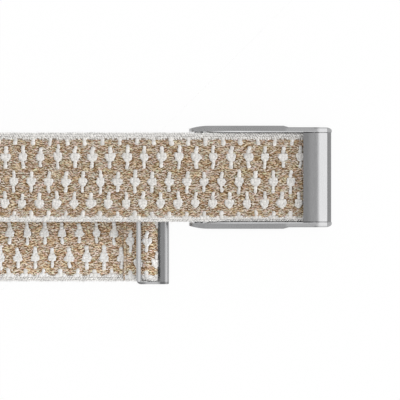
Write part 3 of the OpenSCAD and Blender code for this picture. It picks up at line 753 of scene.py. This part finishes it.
class BAND_OT_ground(bpy.types.Operator):
    """Knit the marled ground on both faces of the strap"""

    bl_idname = "band.ground"
    bl_label = "Ground stitches"

    def execute(self, context):
        knit = context.scene.band_knit
        row, pitch, width = knit.row_pitch / MM, knit.stitch_pitch / MM, knit.yarn_width / MM
        motifs = motif_places(knit.motif_pitch / MM, knit.seed)
        material = yarn_material("marled_yarn", 0.2)
        palette = np.array([knit.brown, knit.tan, knit.cream])
        for back, low_edge in ((0, FACE_LOW), (1, BACK_LOW)):
            rows = np.arange(low_edge, GROUND_TOP, row)
            for part in range(3):
                shake = np.random.default_rng(knit.seed + 10 * back + part)
                lines = rows[part::3]
                s = np.arange(0.25, LENGTH, pitch)
                s, v = (q.ravel() for q in np.meshgrid(s, lines))
                s = s + (part - 1) * pitch / 3 + shake.uniform(-0.16, 0.16, len(s))
                s = np.clip(s, 0.25, LENGTH - 0.25)
                v = v + shake.uniform(-0.06, 0.06, len(v))
                keep = (v > TAIL_LOW) | (s < TENSION_RUN)
                for place in motifs[motifs[:, 2] == back]:
                    ds = np.abs(s - place[0])
                    dv = v - place[1]
                    in_body = (ds < BODY_LONG) & (np.abs(dv) < BODY_WIDE)
                    in_stem = (ds < STEM_LONG) & (dv > STEM_DOWN[int(place[3])]) & (dv < STEM_UP)
                    keep &= ~(in_body | in_stem)
                s, v = s[keep], v[keep]
                count = len(s)
                lean = np.sin(s * 2.1 + v * 1.7) * 0.22 + shake.uniform(-0.34, 0.34, count)
                # A strand's mix of fibres drifts along its row, and each stitch picks from it
                drift = np.sin(s * 1.9 + v * 2.7) * 0.15 + np.sin(s * 0.7 - v * 1.3) * 0.15
                pick = 1.22 + shake.normal(0, 0.35, (count, 3)) + drift[:, None]
                pick = np.clip(pick + shake.normal(0, 0.8, (count, 1)), 0, 2)
                low = np.minimum(pick.astype(int), 1)
                more = (pick - low)[..., None]
                # Some stitches lean to rose and some to olive
                hue = shake.normal(0, 1, (count, 1, 1)) * np.array([0.035, -0.02, 0.02])
                tint = (palette[low] * (1 - more) + palette[low + 1] * more) * (1 + hue)
                # Patches of the ground are more golden than the rest
                gold = np.clip(np.sin(s * 1.1 + v * 0.9) + np.sin(s * 0.37 - v * 1.9), 0, 1)[:, None, None]
                # With the gold, the run's painted light on the lower strand and painted shade in the turn
                tint = tint * (1 + gold * np.array([0.03, -0.01, -0.14])) * painted_light_by_run(s)[:, None, None]
                # The pressed end of the tail tilts towards the light, so its yarn is painted darker there:
                # painted shade
                tint = tint * np.where(s > LENGTH - 1, 0.84, 1)[:, None, None]
                height = STRAP_T / 2 - GROUND_DEPTH + shake.uniform(-0.06, 0.03, count)
                points, faces, uv = stitches(
                    s, v, -height if back else height,
                    shake.uniform(0.68, 1.1, count), width * shake.uniform(0.6, 1.05, count), 0.34,
                    roll=np.pi * back, turn=lean, bow=shake.uniform(-0.16, 0.16, count), sink=0.1)
                new_piece(f"ground_{SIDES[back]}_{part + 1}", points, faces, "strap", material,
                          uv=uv, tint=stitch_tint(tint))
        return {"FINISHED"}


def pair(ds, dv, length, width, lean):
    """Two stitches that mirror each other on both sides of a motif's middle."""
    return (-ds, dv, length, width, lean, 0), (ds, dv, length, width, -lean, 0)


# Stitches of one motif: place along and across, length, width, lean from square across, depth under the top.
# The first three stitches of a body are broad pads that lie under the others
STEM = ((-0.1, 2.25, 1.2, 0.88, -0.1, 0), (-0.02, 1.45, 1.2, 0.98, -0.1, 0))
TAIL = ((0.0, -1.6, 1.2, 0.8, 0.06, 0), (0.03, -2.3, 1.2, 0.85, 0.06, 0))
FACE_BODY = ((0, 0.55, 0.95, 2.1, 0, 0.05), (0, 0.12, 1.15, 2.3, 0, 0.05), (0, -0.42, 1.1, 1.9, 0, 0.05),
             *pair(0.68, 0.52, 0.9, 0.75, 0.15), *pair(0.7, -0.05, 0.95, 0.75, 0.25),
             *pair(0.38, -0.6, 0.85, 0.7, 0.3),
             (0, 0.5, 1.0, 0.75, 0, 0), (0, -0.15, 1.0, 0.65, 0, 0), (0, -0.85, 0.95, 0.9, 0, 0))
BACK_BODY = ((0, 0.5, 1.05, 1.5, 0, 0.05), (0, 0.05, 1.1, 2.0, 0, 0.05), (0, -0.42, 1.05, 2.1, 0, 0.05),
             *pair(0.34, 0.7, 1.05, 0.7, -0.3), *pair(0.62, 0.0, 1.05, 0.75, -0.25),
             *pair(0.55, -0.58, 0.85, 0.75, 0.3),
             (0, 0.2, 1.1, 0.7, 0, 0), (0, -0.7, 1.05, 0.8, 0, 0))
# A tick is a short stem, and those by the lower selvedge stand on two slanting feet
TICK = ((-0.05, 0.5, 1.3, 0.9, -0.1, 0), (0, -0.35, 1.3, 1.0, -0.05, 0))
TICK_FEET = pair(0.8, -0.55, 1.1, 0.8, 0.7)


class BAND_OT_motifs(bpy.types.Operator):
    """Lay the pale floats of the motifs and ticks on both faces"""

    bl_idname = "band.motifs"
    bl_label = "Pale motifs"

    def execute(self, context):
        knit = context.scene.band_knit
        shake = np.random.default_rng(knit.seed + 5)
        motifs = motif_places(knit.motif_pitch / MM, knit.seed)
        sets = ((0, True, STEM + FACE_BODY + TAIL),
                (0, False, STEM + FACE_BODY),
                (1, True, STEM + BACK_BODY + TAIL))
        rows = []
        for back, tailed, places in sets:
            some = motifs[(motifs[:, 2] == back) & (motifs[:, 3] == tailed)]
            # No two motifs are alike: each is a little wider or narrower, and taller or shorter
            wide, tall = shake.uniform(0.88, 1.12, (2, len(some)))
            rows += [(back, some[:, 0], some[:, 1], place, wide, tall) for place in places]
        for back, ticks in ((0, FACE_TICKS), (1, BACK_TICKS)):
            for v, start in ticks:
                runs = motif_runs(start, knit.motif_pitch / MM, back)
                wide, tall = shake.uniform(0.85, 1.15, (2, len(runs)))
                places = TICK if v > 0 else TICK + TICK_FEET
                rows += [(back, runs, v, place, wide, tall) for place in places]
        material = yarn_material("white_yarn", 0.2)
        for face in (0, 1):
            parts = []
            for back, runs, v, (ds, dv, length, width, lean, deep), wide, tall in rows:
                if back == face:
                    parts.append(np.stack(np.broadcast_arrays(
                        runs + ds * wide, v + dv * tall, length * tall, width * wide, lean, deep), 1))
            s, v, length, width, lean, deep = np.concatenate(parts).T
            ok = (s > 0.6) & (s < LENGTH - 0.6)
            s, v, length, width, lean, deep = (q[ok] for q in (s, v, length, width, lean, deep))
            count = len(s)
            white = np.array(knit.white) * shake.uniform(0.78, 1.08, (count, 4, 1))
            # The run's painted light on the lower strand and painted shade in the turn, up to a ceiling
            white = np.minimum(white * painted_light_by_run(s)[:, None, None], 0.88)
            points, faces, uv = stitches(
                s + shake.uniform(-0.13, 0.13, count), v + shake.uniform(-0.07, 0.07, count),
                (-1 if face else 1) * (STRAP_T / 2 - MOTIF_DEPTH - deep),
                length * shake.uniform(0.9, 1.08, count), width * shake.uniform(1.1, 1.33, count), 0.4,
                roll=np.pi * face, turn=np.pi / 2 + lean + shake.uniform(-0.24, 0.24, count),
                sink=0.1, blunt=4, sides=6, rings=4)
            new_piece(f"{SIDES[face]}_motifs", points, faces, "strap", material, uv=uv,
                      tint=stitch_tint(white, 6))
        return {"FINISHED"}


# Rows of one selvedge, by distance across, height, roll and width, and which of them are treated apart
EDGE_ROWS = ((10.74, 0.55, 0.4, 0.46), (10.3, 0.62, 0, 0.5), (9.88, 0.62, 0, 0.5), (10.93, 0, 1.571, 0.8),
             (9.5, 0.6, 0, 0.46))
EDGE_THIRD = 2
EDGE_OUTER = 3
EDGE_INNER = 4


class BAND_OT_selvedge(bpy.types.Operator):
    """Knit the pale selvedges on both faces and round both edges"""

    bl_idname = "band.selvedge"
    bl_label = "Selvedges"

    def execute(self, context):
        knit = context.scene.band_knit
        shake = np.random.default_rng(knit.seed + 7)
        parts = []
        for side in (-1, 1):
            for at, (v, h, roll, width) in enumerate(EDGE_ROWS):
                for back in ((0,) if at == EDGE_OUTER else (0, 1)):
                    s = np.arange(0.35, LENGTH - 0.3, 0.6) + 0.3 * (at % 2)
                    s = s[s < LENGTH - 0.3]
                    # The face's lower selvedge is the narrowest, and its innermost row is only on the tail
                    slim = side < 0 and not back
                    if at == EDGE_INNER:
                        s = s[(shake.uniform(0, 1, len(s)) < 0.7) & (s > (TENSION_RUN if slim else 0))]
                    moved = (s < TENSION_RUN) & (slim and at == EDGE_THIRD)
                    lean = np.pi - roll if back else roll
                    parts.append(np.stack(np.broadcast_arrays(
                        s, side * np.where(moved, 10.08, v), -h if back else h, side * lean, width), 1))
        s, v, h, roll, width = np.concatenate(parts).T
        count = len(s)
        tint = np.array(knit.edge) * shake.uniform(0.88, 1.06, (count, 3, 1))
        tint = tint * shake.uniform(0.93, 1.06, (count, 1, 1))
        # The outermost row is a little darker, because it turns away from the light
        tint = tint * np.where(np.abs(v) > 10.9, 0.84, 1)[:, None, None]
        # A fifth of the stitches are plump ones that bulge over the lines between the rows
        width = width * np.where(shake.uniform(0, 1, count) < 0.2, 1.35, 1)
        points, faces, uv = stitches(
            s + shake.uniform(-0.08, 0.08, count), v + shake.uniform(-0.06, 0.06, count), h,
            shake.uniform(0.6, 0.85, count), width * shake.uniform(0.85, 1.15, count), 0.34, roll=roll,
            turn=0.35 * np.sign(v) + shake.uniform(-0.35, 0.35, count), sink=0.1)
        new_piece("selvedges", points, faces, "strap", yarn_material("edge_yarn", 0.15), uv=uv,
                  tint=stitch_tint(tint))
        return {"FINISHED"}


class BAND_OT_fibres(bpy.types.Operator):
    """Let stray fibres stand out from both edges, between the clasp and the ring"""

    bl_idname = "band.fibres"
    bl_label = "Stray fibres"

    def execute(self, context):
        knit = context.scene.band_knit
        shake = np.random.default_rng(knit.seed + 9)
        # They start past the clasp's arms and end before the ring
        first = PLATE_RUN + 31
        last = TENSION_RUN - 6
        count = round(2 * (last - first) * knit.fibres_per_mm)
        side = np.where(np.arange(count) % 2, -1, 1)
        tint = np.array(knit.edge) * shake.uniform(0.7, 0.95, (count, 3, 1))
        points, faces, uv = stitches(
            shake.uniform(first, last, count), side * shake.uniform(10.6, 11.05, count),
            shake.uniform(-0.4, 0.45, count), shake.uniform(0.6, 1.5, count),
            shake.uniform(0.03, 0.05, count), 0.04,
            turn=np.pi / 2 + shake.normal(0, 0.6, count), bow=shake.uniform(-0.25, 0.25, count),
            sink=shake.uniform(-0.2, 0.25, count))
        new_piece("stray_fibres", points, faces, "strap", yarn_material("fibre_yarn", 0.1), uv=uv,
                  tint=stitch_tint(tint))
        return {"FINISHED"}


class BAND_OT_seams(bpy.types.Operator):
    """Sew the hem's two rows and the tail's row"""

    bl_idname = "band.seams"
    bl_label = "Seams"

    def execute(self, context):
        knit = context.scene.band_knit
        material = yarn_material("seam_thread", 0.1)
        v = np.arange(-4, 5) * 2.2
        pale = np.array(knit.white) * 0.96
        dark = (np.array(knit.brown) + np.array(knit.tan)) * 0.31
        for name, node, runs, colour, width in (
                ("hem_thread", "anchor_seam", HEM_ROWS, pale, 0.42),
                ("tail_thread", "tail_seam", (LENGTH - TAIL_ROW,), dark, 0.16)):
            s = np.repeat(runs, len(v))
            across = np.tile(v, len(runs))
            tint = np.broadcast_to(colour, (len(s), 4, 3))
            points, faces, uv = stitches(s, across, STRAP_T / 2 + 0.02, 1.75, width, 0.3, turn=np.pi / 2,
                                         sink=0.16, blunt=4, sides=6, rings=4)
            new_piece(name, points, faces, "strap", material, [node], uv, stitch_tint(tint, 6))
        return {"FINISHED"}


class BAND_OT_steel(bpy.types.Operator):
    """Finish the lever frame, the cover plate, the cradle and the adjuster ring"""

    bl_idname = "band.steel"
    bl_label = "Steel frames"

    def execute(self, context):
        steel = context.scene.band_steel
        # Each patch is a painted highlight where its gain is over 1 and a painted shade where it is under 1:
        # where it starts and is full along the strap, where it ends and is full, the same across it, and the
        # gain
        slim_arm_highlight = ((-4.9, -3.6), (4.2, 3.2), (11.4, 11.45), (12.25, 12.1), 1.3)
        arm_bevel_highlight = ((-60, -59), (3.3, 3.1), (11.0, 11.1), (11.46, 11.4), 1.5)
        wall_end_highlight = ((5.95, 6.05), (9, 8), (11.1, 11.2), (20, 19), 1.35)
        wall_top_shade = ((5.95, 6.05), (9, 8), (-1, 0), (11.2, 11.1), 0.85)
        nose_rim_shade = ((2.4, 2.9), (6.1, 5.95), (11.95, 12.1), (20, 19), 0.72)
        plate_edge_shade = ((-2, -1), (2.6, 0.4), (-1, 0), (20, 19), 0.72)
        ring_side_shade = ((-60, -59), (-20, -21), (11.1, 11.2), (20, 19), 0.62)
        keeper_highlight = ((-60, -59), (-39, -40), (-1, 0), (11.2, 11.1), 1.32)
        keeper_fall_shade = ((-40.75, -40.45), (-39, -40), (-1, 0), (11.2, 11.1), 0.5)
        hook_flat_shade = ((-35.6, -35.5), (-34.2, -35.3), (-1, 0), (20, 19), 0.76)
        hook_curve_shade = ((-35.1, -34.4), (-30, -31), (-1, 0), (20, 19), 0.78)
        satin = steel_material(
            "satin_steel", steel.satin, steel.satin_gloss, (1, 1, 1), 0.015, 0.0015 * MM, 9000,
            (slim_arm_highlight, arm_bevel_highlight, nose_rim_shade, wall_end_highlight, wall_top_shade))
        plate = steel_material(
            "brushed_plate", steel.satin, steel.satin_gloss - 0.04, (9, 0.5, 3), 0.04, 0.003 * MM,
            painted_patches=(plate_edge_shade,))
        ring = steel_material(
            "ring_steel", steel.satin, steel.bright_gloss + 0.02, (6, 0.5, 3), 0.03, 0.002 * MM,
            painted_patches=(ring_side_shade, keeper_highlight, keeper_fall_shade, hook_flat_shade, hook_curve_shade), y_mid=-STRAND_SHIFT)
        softened("clasp_frame", steel.edge_radius, satin, "clasp")
        softened("cover_plate", steel.edge_radius * 0.6, plate, "clasp")
        softened("cradle_frame", steel.edge_radius, satin, "cradle")
        softened("adjuster_ring", steel.edge_radius * 0.7, ring, "ring")
        return {"FINISHED"}


class BAND_OT_fittings(bpy.types.Operator):
    """Finish the bars, pins, rivets, spring, spacers, bushes and seat pads"""

    bl_idname = "band.fittings"
    bl_label = "Bars and fittings"

    def execute(self, context):
        steel = context.scene.band_steel
        give(("plate_pins", "anchor_bar", "hinge_bar", "hook_bar", "spring_rivets", "tension_bar"),
             steel_material("bright_steel", steel.bright, steel.bright_gloss, (4, 0.4, 4), 0.02, 0.004 * MM))
        give(("hinge_spacer_left", "hinge_spacer_right"),
             steel_material("spacer_steel", steel.satin, steel.satin_gloss, (1, 1, 1), 0.03, 0.01 * MM, 4000))
        give(("pod_spring",),
             steel_material("spring_strip", steel.bright, 0.28, (0.5, 6, 3), 0.04, 0.006 * MM))
        give(("hinge_bush_left", "hinge_bush_right"),
             steel_material("sintered_bronze", steel.bronze, 0.42, (1, 1, 1), 0.08, 0.015 * MM, 6000))
        give(("seat_pad_left", "seat_pad_right"), nylon_material(steel.nylon))
        return {"FINISHED"}


OPERATORS = (BAND_OT_stage, BAND_OT_core, BAND_OT_ground, BAND_OT_motifs, BAND_OT_selvedge, BAND_OT_fibres,
             BAND_OT_seams, BAND_OT_steel, BAND_OT_fittings)


class BAND_PT_build(bpy.types.Panel):
    """Lists the steps that make the band, with their sizes and colours"""

    bl_idname = "BAND_PT_build"
    bl_label = "Knit Tracker Band"
    bl_space_type = "VIEW_3D"
    bl_region_type = "UI"
    bl_category = "Band"

    def draw(self, context):
        for group in (context.scene.band_knit, context.scene.band_steel, context.scene.band_stage):
            box = self.layout.box()
            for key in group.__annotations__:
                box.prop(group, key)
        for operator in OPERATORS:
            self.layout.operator(operator.bl_idname)


CLASSES = (BAND_PG_knit, BAND_PG_steel, BAND_PG_stage, *OPERATORS, BAND_PT_build)


def register():
    """Registers the classes and puts the settings on the scene."""
    for cls in CLASSES:
        bpy.utils.register_class(cls)
    bpy.types.Scene.band_knit = PointerProperty(type=BAND_PG_knit)
    bpy.types.Scene.band_steel = PointerProperty(type=BAND_PG_steel)
    bpy.types.Scene.band_stage = PointerProperty(type=BAND_PG_stage)


def unregister():
    """Takes the settings off the scene and unregisters the classes."""
    del bpy.types.Scene.band_stage
    del bpy.types.Scene.band_steel
    del bpy.types.Scene.band_knit
    for cls in reversed(CLASSES):
        bpy.utils.unregister_class(cls)


def main():
    """Makes the whole band."""
    register()
    bpy.ops.band.stage()
    bpy.ops.band.core()
    bpy.ops.band.ground()
    bpy.ops.band.motifs()
    bpy.ops.band.selvedge()
    bpy.ops.band.fibres()
    bpy.ops.band.seams()
    bpy.ops.band.steel()
    bpy.ops.band.fittings()
    bpy.context.view_layer.update()


if __name__ == "__main__":
    main()
